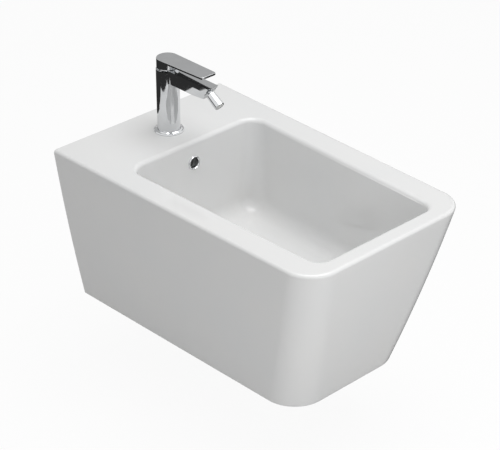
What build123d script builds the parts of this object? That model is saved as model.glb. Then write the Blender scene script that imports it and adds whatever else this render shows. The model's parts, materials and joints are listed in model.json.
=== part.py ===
"""Wall-hung bidet with a monobloc mixer, overflow and push-to-close waste.

Millimetres. X runs to the right, Y towards the wall (the wall is the plane Y = 0 and the
bidet stands out towards -Y) and Z upwards. The origin is midway between the two wall fixings.
Tap pieces are drawn about the tap's own axis, with heights above the deck, and then placed.
"""

import os
from math import acos, atan, atan2, cos, degrees, radians, sin, sqrt, tan

from build123d import *

# Ceramic body, outside
BODY_DEPTH = 560.0
BODY_HEIGHT = 285.0
REAR_WIDTH = 357.0
FRONT_WIDTH = 335.0
BASE_DEPTH = 485.0
BASE_REAR_WIDTH = 262.0
BASE_FRONT_WIDTH = 243.0
TOP_CORNER_R = 50.0
BASE_CORNER_R = 56.0
SIDE_BULGE = 2.5
RIM_EDGE_R = 5.0
BASE_EDGE_R = 3.0
WALL = 12.0
DECK_THICKNESS = 14.0
REAR_OVERRUN = 6.0

# Bowl
BOWL_SETBACK = 128.0
FRONT_RIM = 30.0
BOWL_REAR_WIDTH = 262.0
BOWL_FRONT_WIDTH = 240.0
BOWL_DEPTH = 158.0
BOWL_SIDE_DRAFT = 8.0
BOWL_REAR_DRAFT = 10.0
BOWL_REAR_CORNER_R = 26.0
BOWL_FRONT_CORNER_R = 20.0
BOWL_FLOOR_CORNER_R = 36.0
BOWL_EDGE_R = 7.0
BOWL_COVE_R = 26.0
BOWL_WALL = 11.0
FLOOR_FALL = 6.0
DISH_INSET = 34.0

# Drain and overflow in the ceramic
DRAIN_SETBACK = 270.0
DRAIN_BORE_R = 23.0
DRAIN_SEAT_R = 34.0
DRAIN_SEAT_DEPTH = 3.0
DRAIN_BOSS_R = 39.0
DRAIN_BOSS_DROP = 38.0
OVERFLOW_DROP = 37.0
OVERFLOW_BORE_R = 10.4
CHANNEL_WIDTH = 32.0
CHANNEL_DEPTH = 11.0
CHANNEL_WALL = 8.0
CHANNEL_ROOF = 3.0

# Wall fixings and service opening
FIXING_DROP = 80.0
FIXING_SPACING = 180.0
FIXING_BORE_R = 11.0
FIXING_BOSS_R = 24.0
FIXING_BOSS_DEPTH = 28.0
BUSH_FIT = 0.1
BUSH_BORE_R = 6.5
BUSH_FLANGE_R = 15.0
BUSH_FLANGE = 3.0
FIXING_WASHER_R = 12.0
FIXING_WASHER = 2.5
FIXING_NUT_FLATS = 19.0
FIXING_NUT_HEIGHT = 10.0
FIXING_NUT_BORE_R = 6.2
SERVICE_WIDTH = 124.0
SERVICE_TOP_DROP = 118.0
SERVICE_SILL = 16.0
SERVICE_CORNER_R = 20.0

# Tap: column, foot and clamping set
TAP_SETBACK = 71.0
TAP_HOLE_R = 17.5
COLUMN_R = 18.6
COLUMN_HEIGHT = 108.8
BASE_RING_R = 24.5
BASE_RING_HEIGHT = 4.4
BASE_LIP = 1.5
SPIGOT_R = 16.4
SPIGOT_DROP = 3.0
SEAL_INNER_R = 20.0
SEAL_OUTER_R = 23.0
SEAL_THICKNESS = 1.2
STUD_R = 4.0
STUD_OFFSET = 10.0
STUD_LENGTH = 66.0
STUD_GRIP = 11.0
INLET_SPREAD = 5.5
INLET_OFFSET = 3.5
INLET_BORE_R = 2.4
INLET_THREAD_R = 4.5
INLET_THREAD_OFFSET = 1.2
INLET_THREAD_DEPTH = 15.0
INLET_MOUTH = 5.0
INLET_PASSAGE_R = 1.9
FOOT_POCKET_R = 5.6
CLAMP_R = 23.0
CLAMP_SLOT = 24.0
CLAMP_GASKET = 3.0
CLAMP_WASHER = 2.5
CLAMP_NUT_FLATS = 13.0
CLAMP_NUT_HEIGHT = 9.0
THREAD_FIT = 0.05

# Spout and its swivel nozzle
SPOUT_TOP = 111.5
SPOUT_HEIGHT = 22.2
SPOUT_HALF_WIDTH = 11.0
SPOUT_LOWER_HALF_WIDTH = 10.3
SPOUT_CREASE_DROP = 8.0
SPOUT_REACH = 106.0
SPOUT_BLEND_R = 9.0
CHEEK_START = 68.0
CHEEK_INSET = 2.6
NOZZLE_PITCH = 33.0
NOZZLE_BELOW_EDGE = 14.4
BALL_R = 6.0
BALL_DEPTH = 2.2
BALL_FIT = 0.06
BALL_BORE_R = 2.2
NECK_R = 3.6
COLLAR_R = 9.3
COLLAR_LENGTH = 3.1
LINER_R = 6.9
LINER_LENGTH = 3.0
BALL_SEAL_LENGTH = 2.4
SEAL_TO_BALL = 0.25
SLEEVE_GAP = 2.7
SLEEVE_LENGTH = 25.0
SLEEVE_REAR_R = 7.4
SLEEVE_FRONT_R = 8.2
SLEEVE_HEAD = 3.6
SLEEVE_BORE_R = 4.6
AERATOR_R = 6.7
AERATOR_RECESS = 0.8
AERATOR_LENGTH = 5.0
AERATOR_HOLE_R = 0.9
AERATOR_HOLE_RING_R = 3.9
AERATOR_HOLES = 8
AERATOR_SEAL_LENGTH = 1.2
SPOUT_BORE_R = 3.0

# Lever
LEVER_TOP = 127.7
LEVER_RISE = 1.0
LEVER_REACH = 98.0
LEVER_LIFT = 20.0
LEVER_THICKNESS = 3.4
LEVER_HUB_R = 17.6
LEVER_FRONT_HALF_WIDTH = 14.8
LEVER_CORNER_R = 4.0
LEVER_EDGE_R = 0.5
HUB_GAP = 0.4
HUB_BOTTOM_R = 3.4
HUB_CAVITY_R = 14.2
HUB_ROOF = 121.5
HUB_BLEND_R = 5.0
STEM_SQUARE = 7.0
STEM_FIT = 0.08
STEM_SOCKET_ROOF = 2.2
GRUB_R = 2.0
GRUB_LENGTH = 5.0
GRUB_BORE_HEIGHT = 123.6
PLUG_R = 2.4
PLUG_LENGTH = 1.6

# Cartridge, heights above the deck
PIVOT_HEIGHT = 113.0
CHAMBER_R = 12.9
CHAMBER_FLOOR = 82.0
SHOULDER_HEIGHT = 97.0
NUT_THREAD_R = 15.0
RECESS_FLOOR = 103.5
RECESS_FLOOR_R = 16.0
RECESS_TOP_R = 17.6
CARTRIDGE_R = 12.6
HOUSING_BORE_R = 11.2
HOUSING_FLANGE_R = 14.3
HOUSING_FLANGE = 2.5
HOUSING_TOP = 102.4
HOUSING_LIP = 1.3
BASE_THICKNESS = 5.0
SEAL_RING_R = 3.7
SEAL_POCKET = 1.2
DISC_R = 10.9
DISC_THICKNESS = 3.0
MOVING_DISC_R = 7.0
CARRIER_R = 7.4
CARRIER_HEIGHT = 5.8
DISC_OFFSET = 2.6
TAIL_LENGTH = 16.0
TAIL_TIP_R = 2.2
TAIL_THICKNESS = 3.2
POCKET_FIT = 0.3
GUIDE_FLANGE_R = 10.9
GUIDE_FLANGE = 1.7
GUIDE_TOWER_R = 8.6
GUIDE_TOP = 116.5
GUIDE_FIT = 0.1
FORK_SLOT = 7.6
PIVOT_EYE_R = 4.0
PIN_R = 1.5
PIN_FIT = 0.05
NUT_RING_BORE_R = 12.9
NUT_RING_HEIGHT = 3.1
DOME_RING = 0.8
DOME_RING_BORE_R = 9.2

# Waste
WASTE_R = 20.95
WASTE_BORE_R = 17.6
WASTE_LENGTH = 87.0
WASTE_CHAMFER = 1.0
TAIL_THREAD = 26.0
TAIL_GROOVE = 3.0
TAIL_GROOVE_DEPTH = 0.8
FLANGE_R = 32.5
FLANGE_THICKNESS = 2.7
FLANGE_EDGE = 0.8
FLANGE_BEVEL = 1.6
UPPER_SEAL = 1.5
UPPER_SEAL_BORE_R = 21.1
UPPER_SEAL_R = 31.5
FLANGE_SEAT_R = 24.0
FLANGE_SEAT_FOOT_R = 19.5
FLANGE_SEAT_DEPTH = 5.2
FLANGE_THROAT = 1.5
OVERFLOW_WINDOW = 12.0
OVERFLOW_WINDOW_DROP = 13.0
OVERFLOW_WINDOW_HEIGHT = 11.0
SPIDER_DROP = 32.0
SPIDER_THICKNESS = 4.0
SPIDER_ARM = 4.0
SPIDER_HUB_R = 6.5
SPIDER_BORE_R = 4.0
PLUG_GUIDE_R = 8.0
PLUG_GUIDE_HEIGHT = 19.0
PLUG_GUIDE_SCREW = 9.0
PLUG_GUIDE_FLOOR = 1.5
PLUG_STEM_R = 5.0
PLUG_STEM_FIT = 0.08
PLUG_TRAVEL = 7.0
PLUG_CLOSED_GAP = 0.3
PLUG_CAP_R = 31.5
PLUG_CAP_HEIGHT = 4.6
PLUG_CAP_EDGE = 1.6
PLUG_CAP_CHAMFER = 0.9
PLUG_CAP_UNDERCUT = 1.2
PLUG_STEM_SOCKET = 1.0
PLUG_SEAL_R = 21.3
PLUG_SEAL_BORE_R = 15.0
PLUG_SEAL_THICKNESS = 3.0
LOWER_SEAL = 8.0
LOWER_SEAL_R = 34.0
LOWER_SEAL_RIM = 2.5
LOWER_SEAL_TAPER = 5.0
SLIP_WASHER = 2.0
SLIP_WASHER_R = 33.0
LOCKNUT_HEIGHT = 10.0
LOCKNUT_R = 31.0
LOCKNUT_LUGS = 6
LOCKNUT_LUG_WIDTH = 7.0
LOCKNUT_LUG_DEPTH = 2.5
LOCKNUT_FLANGE = 3.0
WASTE_FIT = 0.15

# Overflow ring
OVERFLOW_RING_R = 11.6
OVERFLOW_RING_BORE_R = 8.6
OVERFLOW_RING_LIP = 2.2
OVERFLOW_RING_FIT = 0.1

# Worked-out places
DECK_Z = FIXING_DROP
BASE_Z = DECK_Z - BODY_HEIGHT
FLOOR_Z = DECK_Z - BOWL_DEPTH
DRAIN_Z = FLOOR_Z - FLOOR_FALL
BOWL_BLOCK_Z = DRAIN_Z - BOWL_WALL
BOSS_Z = DRAIN_Z - DRAIN_BOSS_DROP
BOWL_FRONT = BODY_DEPTH - FRONT_RIM
FACE_SLOPE = (BODY_DEPTH - BASE_DEPTH) / BODY_HEIGHT
DRAIN = Pos(0, -DRAIN_SETBACK, 0)
TAP = Pos(0, -TAP_SETBACK, DECK_Z)
FIXINGS = [Pos(side * FIXING_SPACING / 2, 0, 0) for side in (-1, 1)]
FLAT_UP = (Align.CENTER, Align.CENTER, Align.MIN)


def bar(radius, low, high):
    """Round bar about Z between two heights."""
    return Pos(0, 0, low) * Cylinder(radius, high - low, align=FLAT_UP)


def ring(outer, inner, low, high):
    """Round bar with a bore."""
    return bar(outer, low, high) - bar(inner, low - 1, high + 1)


def turned(*points):
    """Solid turned about Z from its half section, given as (radius, height) corners."""
    corners = [(r, 0, z) for r, z in points]
    return revolve(make_face(Polyline(*corners, corners[0])), Axis.Z)


def block(x0, x1, y0, y1, z0, z1):
    """Box between two corners."""
    size = Box(x1 - x0, y1 - y0, z1 - z0)
    return Pos((x0 + x1) / 2, (y0 + y1) / 2, (z0 + z1) / 2) * size


def hexagon(flats, low, high):
    """Hexagonal prism about Z, by its width across flats."""
    outline = RegularPolygon(flats / sqrt(3), 6)
    return extrude(Pos(0, 0, low) * outline, high - low)


def to_wall(shape):
    """Turns a piece drawn along Z so that its +Z end points away from the wall."""
    return Rot(90, 0, 0) * shape


def save(name, shape):
    """Writes one piece."""
    export_step(shape, f"parts/{name}.step")


def body_outline(z, inset=0.0, overrun=0.0):
    """Horizontal section of the body's outside at height z, moved inwards by an inset.

    An overrun carries the sides on past the wall plane, for a rear face that is cut flat.
    """
    share = (DECK_Z - z) / BODY_HEIGHT
    bow = SIDE_BULGE * 4 * share * (1 - share)
    rear = (REAR_WIDTH + (BASE_REAR_WIDTH - REAR_WIDTH) * share) / 2 + bow - inset
    front = (FRONT_WIDTH + (BASE_FRONT_WIDTH - FRONT_WIDTH) * share) / 2 + bow - inset
    depth = BODY_DEPTH + (BASE_DEPTH - BODY_DEPTH) * share + bow - inset
    corner = TOP_CORNER_R + (BASE_CORNER_R - TOP_CORNER_R) * share - inset
    rear += (rear - front) * overrun / depth
    return rounded_plan(rear, front, overrun - inset, -depth, 0, corner, z)


def rounded_plan(rear, front, rear_y, front_y, rear_r, front_r, z):
    """Four-sided plan, given by half widths, with rounded corners, at height z."""
    corners = [(-rear, rear_y), (-front, front_y), (front, front_y), (rear, rear_y)]
    plan = make_face(Polyline(*corners, corners[0]))
    ends = plan.vertices().sort_by(Axis.Y)
    plan = fillet(ends[:2], front_r)
    if rear_r:
        plan = fillet(plan.vertices().sort_by(Axis.Y)[-2:], rear_r)
    return Pos(0, 0, z) * plan


def bowl_plan(z, grow=0.0):
    """Horizontal section of the bowl at height z, grown outwards by a wall."""
    share = (DECK_Z - z) / BOWL_DEPTH
    rear = BOWL_REAR_WIDTH / 2 - BOWL_SIDE_DRAFT * share + grow
    front = BOWL_FRONT_WIDTH / 2 - BOWL_SIDE_DRAFT * share + grow
    rear_y = -BOWL_SETBACK - BOWL_REAR_DRAFT * share + grow
    front_y = -BOWL_FRONT + FACE_SLOPE * (DECK_Z - z) - grow
    rear_r = BOWL_REAR_CORNER_R + (BOWL_FLOOR_CORNER_R - BOWL_REAR_CORNER_R) * share
    front_r = BOWL_FRONT_CORNER_R + (BOWL_FLOOR_CORNER_R - BOWL_FRONT_CORNER_R) * share
    return rounded_plan(rear, front, rear_y, front_y, rear_r + grow, front_r + grow, z)


def bowl_rear_y(z):
    """Y of the bowl's rear wall at height z."""
    return -BOWL_SETBACK - BOWL_REAR_DRAFT * (DECK_Z - z) / BOWL_DEPTH


def bowl_hollow():
    """Space inside the bowl: drafted walls, coved floor and a shallow fall to the drain."""
    hollow = loft([bowl_plan(FLOOR_Z), bowl_plan(DECK_Z)], ruled=True)
    floor_edges = hollow.faces().sort_by(Axis.Z)[0].edges()
    hollow = fillet(floor_edges, BOWL_COVE_R)
    rim = offset(bowl_plan(FLOOR_Z), -DISH_INSET)
    seat = Pos(0, -DRAIN_SETBACK, DRAIN_Z) * RectangleRounded(
        2 * DRAIN_SEAT_R, 2 * DRAIN_SEAT_R, DRAIN_SEAT_R - 0.5
    )
    dish = loft([seat, rim], ruled=True)
    return hollow + dish


def overflow_channel(grow):
    """Duct from the overflow hole down behind the bowl and forward to the drain."""
    half = CHANNEL_WIDTH / 2 + grow
    top = DECK_Z - OVERFLOW_DROP + OVERFLOW_BORE_R + 2 + grow
    roof = BOWL_BLOCK_Z - CHANNEL_ROOF + grow
    low = BOWL_BLOCK_Z - CHANNEL_ROOF - CHANNEL_DEPTH - grow
    near = BOWL_WALL - min(grow, BOWL_WALL / 2)
    far = BOWL_WALL + CHANNEL_DEPTH + grow
    corners = [
        (0, bowl_rear_y(top) + near, top),
        (0, bowl_rear_y(top) + far, top),
        (0, bowl_rear_y(low) + far, low),
        (0, -DRAIN_SETBACK, low),
        (0, -DRAIN_SETBACK, roof),
        (0, bowl_rear_y(roof) + near, roof),
    ]
    side = make_face(Polyline(*corners, corners[0]))
    return extrude(side, half, dir=(1, 0, 0), both=True)


def overflow_place(shape):
    """Stands a piece drawn along Z square on the bowl's rear wall at the overflow."""
    lean = degrees(atan(BOWL_REAR_DRAFT / BOWL_DEPTH))
    z = DECK_Z - OVERFLOW_DROP
    return Pos(0, bowl_rear_y(z), z) * Rot(90 - lean, 0, 0) * shape


def ceramic_body():
    """Body: outer shell, bowl, duct, drain boss, fixing bosses and service opening."""
    levels = (BASE_Z, DECK_Z - BODY_HEIGHT / 2, DECK_Z)
    shell = loft([body_outline(z, overrun=REAR_OVERRUN) for z in levels])
    shell -= block(-REAR_WIDTH, REAR_WIDTH, 0, 2 * REAR_OVERRUN, BASE_Z - 1, DECK_Z + 1)
    low_z = BASE_Z - 1
    high_z = DECK_Z - DECK_THICKNESS
    room = loft([body_outline(low_z, WALL), body_outline(high_z, WALL)], ruled=True)
    bowl_block = loft(
        [bowl_plan(BOWL_BLOCK_Z, BOWL_WALL), bowl_plan(DECK_Z, BOWL_WALL)], ruled=True
    )
    room -= bowl_block
    room -= overflow_channel(CHANNEL_WALL)
    room -= DRAIN * bar(DRAIN_BOSS_R, BOSS_Z, DRAIN_Z)
    for place in FIXINGS:
        room -= place * to_wall(bar(FIXING_BOSS_R, 0, FIXING_BOSS_DEPTH))
    body = shell - room
    body -= bowl_hollow()
    body = round_rims(body)
    body -= DRAIN * bar(DRAIN_SEAT_R, DRAIN_Z - DRAIN_SEAT_DEPTH, DRAIN_Z + 0.5)
    body -= DRAIN * bar(DRAIN_BORE_R, BOSS_Z - 1, DRAIN_Z)
    body -= overflow_channel(0)
    body -= overflow_place(bar(OVERFLOW_BORE_R, -BOWL_WALL - 2, 5))
    body -= TAP * bar(TAP_HOLE_R, -DECK_THICKNESS - 1, 1)
    for place in FIXINGS:
        body -= place * to_wall(bar(FIXING_BORE_R, -1, FIXING_BOSS_DEPTH + 1))
    return body - service_opening()


def service_opening():
    """Rounded opening through the rear wall for the supply and waste pipes."""
    top = DECK_Z - SERVICE_TOP_DROP
    low = BASE_Z + SERVICE_SILL
    plan = RectangleRounded(SERVICE_WIDTH, top - low, SERVICE_CORNER_R)
    opening = extrude(plan, WALL + 2)
    return Pos(0, 1, (top + low) / 2) * to_wall(opening)


def round_rims(body):
    """Rounds the outer rim, the bowl's rim and the base edge."""
    deck = body.faces().filter_by(Axis.Z).sort_by(Axis.Z)[-1]
    bowl_edges = deck.inner_wires()[0].edges()
    body = fillet(bowl_edges, BOWL_EDGE_R)
    deck = body.faces().filter_by(Axis.Z).sort_by(Axis.Z)[-1]
    rim_edges = deck.outer_wire().edges().sort_by(Axis.Y)[:-1]
    body = fillet(rim_edges, RIM_EDGE_R)
    base = body.faces().filter_by(Axis.Z).sort_by(Axis.Z)[0]
    base_edges = base.outer_wire().edges().sort_by(Axis.Y)[:-1]
    return fillet(base_edges, BASE_EDGE_R)


def overflow_ring():
    """Flanged ring pushed into the overflow hole."""
    lip = OVERFLOW_RING_LIP
    sleeve_r = OVERFLOW_BORE_R - OVERFLOW_RING_FIT
    bore = OVERFLOW_RING_BORE_R
    section = turned(
        (bore, -8),
        (sleeve_r, -8),
        (sleeve_r, 0),
        (OVERFLOW_RING_R, 0),
        (OVERFLOW_RING_R, lip * 0.45),
        (OVERFLOW_RING_R - lip * 0.55, lip),
        (bore + lip * 0.5, lip),
        (bore, lip * 0.4),
    )
    return overflow_place(section)


def fixing_bush():
    """Flanged plastic bush between the ceramic and the wall stud."""
    sleeve = bar(FIXING_BORE_R - BUSH_FIT, 0, FIXING_BOSS_DEPTH)
    flange = bar(BUSH_FLANGE_R, FIXING_BOSS_DEPTH, FIXING_BOSS_DEPTH + BUSH_FLANGE)
    return sleeve + flange - bar(BUSH_BORE_R, -1, FIXING_BOSS_DEPTH + BUSH_FLANGE + 1)


def fixing_washer():
    """Steel washer on the bush."""
    seat = FIXING_BOSS_DEPTH + BUSH_FLANGE
    return ring(FIXING_WASHER_R, BUSH_BORE_R, seat, seat + FIXING_WASHER)


def fixing_nut():
    """Hexagonal nut on the washer."""
    seat = FIXING_BOSS_DEPTH + BUSH_FLANGE + FIXING_WASHER
    body = hexagon(FIXING_NUT_FLATS, seat, seat + FIXING_NUT_HEIGHT)
    return body - bar(FIXING_NUT_BORE_R, seat - 1, seat + FIXING_NUT_HEIGHT + 1)


def wall_fixings():
    """Bushes, washers and nuts, one solid at each wall fixing."""
    for name, make in (
        ("fixing_bushes", fixing_bush),
        ("fixing_washers", fixing_washer),
        ("fixing_nuts", fixing_nut),
    ):
        save(name, Compound([place * to_wall(make()) for place in FIXINGS]))


# Spout end: the nozzle's own plane, with +Z along the nozzle and its origin at the ball
PITCH = radians(NOZZLE_PITCH)
FACE_Y = -SPOUT_REACH + NOZZLE_BELOW_EDGE * sin(PITCH)
FACE_HEIGHT = SPOUT_TOP - NOZZLE_BELOW_EDGE * cos(PITCH)
BALL_Y = FACE_Y + BALL_DEPTH * cos(PITCH)
BALL_HEIGHT = FACE_HEIGHT + BALL_DEPTH * sin(PITCH)
NOZZLE = Plane(
    origin=(0, BALL_Y, BALL_HEIGHT), x_dir=(1, 0, 0), z_dir=(0, -cos(PITCH), -sin(PITCH))
)
SPOUT_UNDERSIDE = SPOUT_TOP - SPOUT_HEIGHT
COLLAR_REAR = BALL_DEPTH - COLLAR_LENGTH
LINER_REAR = COLLAR_REAR - LINER_LENGTH - 0.1
SOCKET_REAR = LINER_REAR - BALL_SEAL_LENGTH - 0.1
SLEEVE_REAR = BALL_DEPTH + SLEEVE_GAP
SLEEVE_FRONT = SLEEVE_REAR + SLEEVE_LENGTH


def spout_plan(half, z):
    """Plan of the column and spout with hollow blends between them, at a height."""
    reach = SPOUT_REACH + 4
    plan = Circle(COLUMN_R) + Pos(0, -reach / 2) * Rectangle(2 * half, reach)
    inner = plan.vertices().filter_by(lambda v: -COLUMN_R < v.Y < -COLUMN_R / 3)
    return Pos(0, 0, z) * fillet(inner, SPOUT_BLEND_R)


def spout_bar():
    """Flat spout with creased sides and an end face square to the nozzle."""
    crease = SPOUT_TOP - SPOUT_CREASE_DROP
    solid = extrude(spout_plan(SPOUT_HALF_WIDTH, crease), SPOUT_CREASE_DROP)
    lower = spout_plan(SPOUT_LOWER_HALF_WIDTH, SPOUT_UNDERSIDE)
    solid += loft([lower, spout_plan(SPOUT_HALF_WIDTH, crease)], ruled=True)
    beyond = NOZZLE * bar(3 * SPOUT_HEIGHT, BALL_DEPTH, 2 * SPOUT_HEIGHT)
    return solid - beyond - bar(COLUMN_R + 0.2, COLUMN_HEIGHT, SPOUT_TOP + 1)


def spout_cheek(side):
    """Wedge that bevels the lower front corner of one side of the spout."""
    foot_y = -SPOUT_REACH + SPOUT_HEIGHT * tan(PITCH)
    outside = side * (SPOUT_HALF_WIDTH + 4)
    edge_start = (side * SPOUT_LOWER_HALF_WIDTH, -CHEEK_START, SPOUT_UNDERSIDE)
    edge_end = (side * SPOUT_HALF_WIDTH, -SPOUT_REACH, SPOUT_TOP)
    inset_foot = (side * (SPOUT_LOWER_HALF_WIDTH - CHEEK_INSET), foot_y, SPOUT_UNDERSIDE)
    first = Vector(*edge_end) - Vector(*edge_start)
    second = Vector(*inset_foot) - Vector(*edge_start)
    normal = first.cross(second) * side
    if normal.X * side < 0:
        normal = normal * -1
    cutter = Plane(origin=edge_start, z_dir=normal) * bar(SPOUT_REACH, 0, 2 * SPOUT_HALF_WIDTH)
    slab = block(
        min(0, outside), max(0, outside), -SPOUT_REACH - 5, -CHEEK_START,
        SPOUT_UNDERSIDE - 1, SPOUT_TOP + 1,
    )
    return cutter & slab


def tap_body():
    """Casting of column, foot and spout, with its waterways and the cartridge's chamber."""
    column = bar(COLUMN_R, BASE_LIP, COLUMN_HEIGHT) + bar(SPIGOT_R, -SPIGOT_DROP, BASE_LIP)
    body = column + spout_bar()
    for side in (-1, 1):
        body -= spout_cheek(side)
    body -= bar(CHAMBER_R, CHAMBER_FLOOR, COLUMN_HEIGHT + 5)
    body -= bar(NUT_THREAD_R + THREAD_FIT, SHOULDER_HEIGHT, COLUMN_HEIGHT + 5)
    body -= turned(
        (0, RECESS_FLOOR),
        (RECESS_FLOOR_R, RECESS_FLOOR),
        (RECESS_TOP_R, COLUMN_HEIGHT),
        (RECESS_TOP_R, SPOUT_TOP + 1),
        (0, SPOUT_TOP + 1),
    )
    thread_top = INLET_MOUTH + INLET_THREAD_DEPTH
    for passage in inlet_ports(INLET_PASSAGE_R, thread_top - 1, CHAMBER_FLOOR + 1):
        body -= passage
    for side in (-1, 1):
        thread = Pos(side * INLET_SPREAD, INLET_THREAD_OFFSET, 0)
        body -= thread * bar(INLET_THREAD_R, INLET_MOUTH - 1, thread_top)
    body -= foot_pocket()
    body -= Pos(0, -STUD_OFFSET, 0) * bar(STUD_R + THREAD_FIT, -SPIGOT_DROP - 1, STUD_GRIP)
    body -= waterway()
    body -= NOZZLE * bar(COLLAR_R + THREAD_FIT, COLLAR_REAR, BALL_DEPTH + 2)
    body -= NOZZLE * bar(LINER_R + 0.1, SOCKET_REAR, BALL_DEPTH)
    return body


def foot_pocket():
    """Rounded pocket in the foot, above which the two supply hoses screw in."""
    plan = SlotOverall(2 * (INLET_SPREAD + FOOT_POCKET_R), 2 * FOOT_POCKET_R)
    low = -SPIGOT_DROP - 1
    return Pos(0, INLET_THREAD_OFFSET, low) * extrude(plan, INLET_MOUTH - low)


def waterway():
    """Inclined bore from the cartridge's chamber to the ball's socket."""
    start = Vector(0, -CHAMBER_R + 3, SHOULDER_HEIGHT - SPOUT_BORE_R - 0.4)
    end_point = NOZZLE.from_local_coords((0, 0, SOCKET_REAR))
    end = Vector(0, end_point.Y + 1, end_point.Z - 3)
    run = end - start
    return Plane(origin=start, z_dir=run) * bar(SPOUT_BORE_R, 0, run.length)


def tap_base_ring():
    """Flange between the column and the deck, with a lip that carries the column."""
    height = BASE_RING_HEIGHT
    inner = COLUMN_R + 0.15
    profile = turned(
        (SPIGOT_R + 0.15, 0),
        (BASE_RING_R, 0),
        (BASE_RING_R, height * 0.35),
        (BASE_RING_R - 0.9, height * 0.62),
        (BASE_RING_R - 2.6, height * 0.72),
        (inner + 1.2, height),
        (inner, height),
        (inner, BASE_LIP),
        (SPIGOT_R + 0.15, BASE_LIP),
    )
    return profile - ring(SEAL_OUTER_R, SEAL_INNER_R, -1, SEAL_THICKNESS)


def tap_base_seal():
    """Flat seal in the groove under the base ring."""
    return ring(SEAL_OUTER_R, SEAL_INNER_R, 0, SEAL_THICKNESS)


def tap_stud():
    """Stud that pulls the tap down on the deck."""
    return Pos(0, -STUD_OFFSET, 0) * bar(STUD_R, STUD_GRIP - STUD_LENGTH, STUD_GRIP)


def horseshoe(low, high):
    """Round plate with a hole for the stud, slotted to the rear for the supply hoses."""
    plate = bar(CLAMP_R, low, high)
    slot_front = -STUD_OFFSET + STUD_R + 2
    plate -= block(-CLAMP_SLOT / 2, CLAMP_SLOT / 2, slot_front, CLAMP_R + 5, low - 1, high + 1)
    return plate - Pos(0, -STUD_OFFSET, 0) * bar(STUD_R + 0.25, low - 1, high + 1)


def clamp_nut():
    """Hexagonal nut that draws the horseshoe up."""
    top = -DECK_THICKNESS - CLAMP_GASKET - CLAMP_WASHER
    nut = hexagon(CLAMP_NUT_FLATS, top - CLAMP_NUT_HEIGHT, top)
    nut -= bar(STUD_R + THREAD_FIT, top - CLAMP_NUT_HEIGHT - 1, top + 1)
    return Pos(0, -STUD_OFFSET, 0) * nut


BASE_TOP = CHAMBER_FLOOR + BASE_THICKNESS
DISC_TOP = BASE_TOP + DISC_THICKNESS
MOVING_TOP = DISC_TOP + DISC_THICKNESS
CARRIER_TOP = MOVING_TOP + CARRIER_HEIGHT
TIP_HEIGHT = PIVOT_HEIGHT - TAIL_LENGTH
GUIDE_LOW = HOUSING_TOP - HOUSING_LIP - GUIDE_FLANGE


def inlet_ports(radius, low, high):
    """Pair of round ports in line with the tap's two inlets."""
    return [
        Pos(side * INLET_SPREAD, INLET_OFFSET, 0) * bar(radius, low, high)
        for side in (-1, 1)
    ]


def cartridge_base():
    """Plastic foot of the cartridge with its inlets and seal pockets."""
    base = bar(CARTRIDGE_R, CHAMBER_FLOOR, BASE_TOP)
    for port in inlet_ports(INLET_BORE_R, CHAMBER_FLOOR - 1, BASE_TOP + 1):
        base -= port
    for pocket in inlet_ports(SEAL_RING_R, CHAMBER_FLOOR - 1, CHAMBER_FLOOR + SEAL_POCKET):
        base -= pocket
    return base


def cartridge_seals():
    """Rubber rings round the two inlets."""
    low = CHAMBER_FLOOR
    seals = [
        Pos(side * INLET_SPREAD, INLET_OFFSET, 0)
        * ring(SEAL_RING_R, INLET_BORE_R, low, low + SEAL_POCKET)
        for side in (-1, 1)
    ]
    return Compound([TAP * seal for seal in seals])


def fixed_disc():
    """Ceramic disc with the inlet ports and the outlet port."""
    disc = bar(DISC_R, BASE_TOP, DISC_TOP)
    for port in inlet_ports(INLET_BORE_R, BASE_TOP - 1, DISC_TOP + 1):
        disc -= port
    return disc - Pos(0, -DISC_R / 2, 0) * bar(INLET_BORE_R, BASE_TOP - 1, DISC_TOP + 1)


def moving_disc():
    """Ceramic disc that slides and turns over the fixed one, with its mixing pocket."""
    disc = bar(MOVING_DISC_R, DISC_TOP, MOVING_TOP)
    pocket = extrude(
        Pos(0, 0, DISC_TOP - 1) * SlotOverall(MOVING_DISC_R * 1.3, MOVING_DISC_R * 0.6),
        DISC_THICKNESS / 2 + 1,
    )
    return Pos(0, DISC_OFFSET, 0) * (disc - pocket)


def disc_carrier():
    """Plastic carrier on the moving disc, with a pocket for the lever's tail."""
    carrier = Pos(0, DISC_OFFSET, 0) * bar(CARRIER_R, MOVING_TOP, CARRIER_TOP)
    half = TAIL_TIP_R + POCKET_FIT
    floor = TIP_HEIGHT - half
    return carrier - block(-half, half, -half, half, floor, CARRIER_TOP + 1)


def cartridge_housing():
    """Plastic cup round the discs, with a clamping shoulder and an outlet window."""
    shoulder_top = SHOULDER_HEIGHT + HOUSING_FLANGE
    housing = turned(
        (HOUSING_BORE_R, BASE_TOP),
        (CARTRIDGE_R, BASE_TOP),
        (CARTRIDGE_R, SHOULDER_HEIGHT),
        (HOUSING_FLANGE_R, SHOULDER_HEIGHT),
        (HOUSING_FLANGE_R, shoulder_top),
        (CARTRIDGE_R, shoulder_top),
        (CARTRIDGE_R, HOUSING_TOP),
        (GUIDE_TOWER_R + GUIDE_FIT, HOUSING_TOP),
        (GUIDE_TOWER_R + GUIDE_FIT, HOUSING_TOP - HOUSING_LIP),
        (HOUSING_BORE_R, HOUSING_TOP - HOUSING_LIP),
    )
    window = block(-3.5, 3.5, -CARTRIDGE_R - 1, -HOUSING_BORE_R + 1, DISC_TOP, SHOULDER_HEIGHT - 1)
    return housing - window


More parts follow.
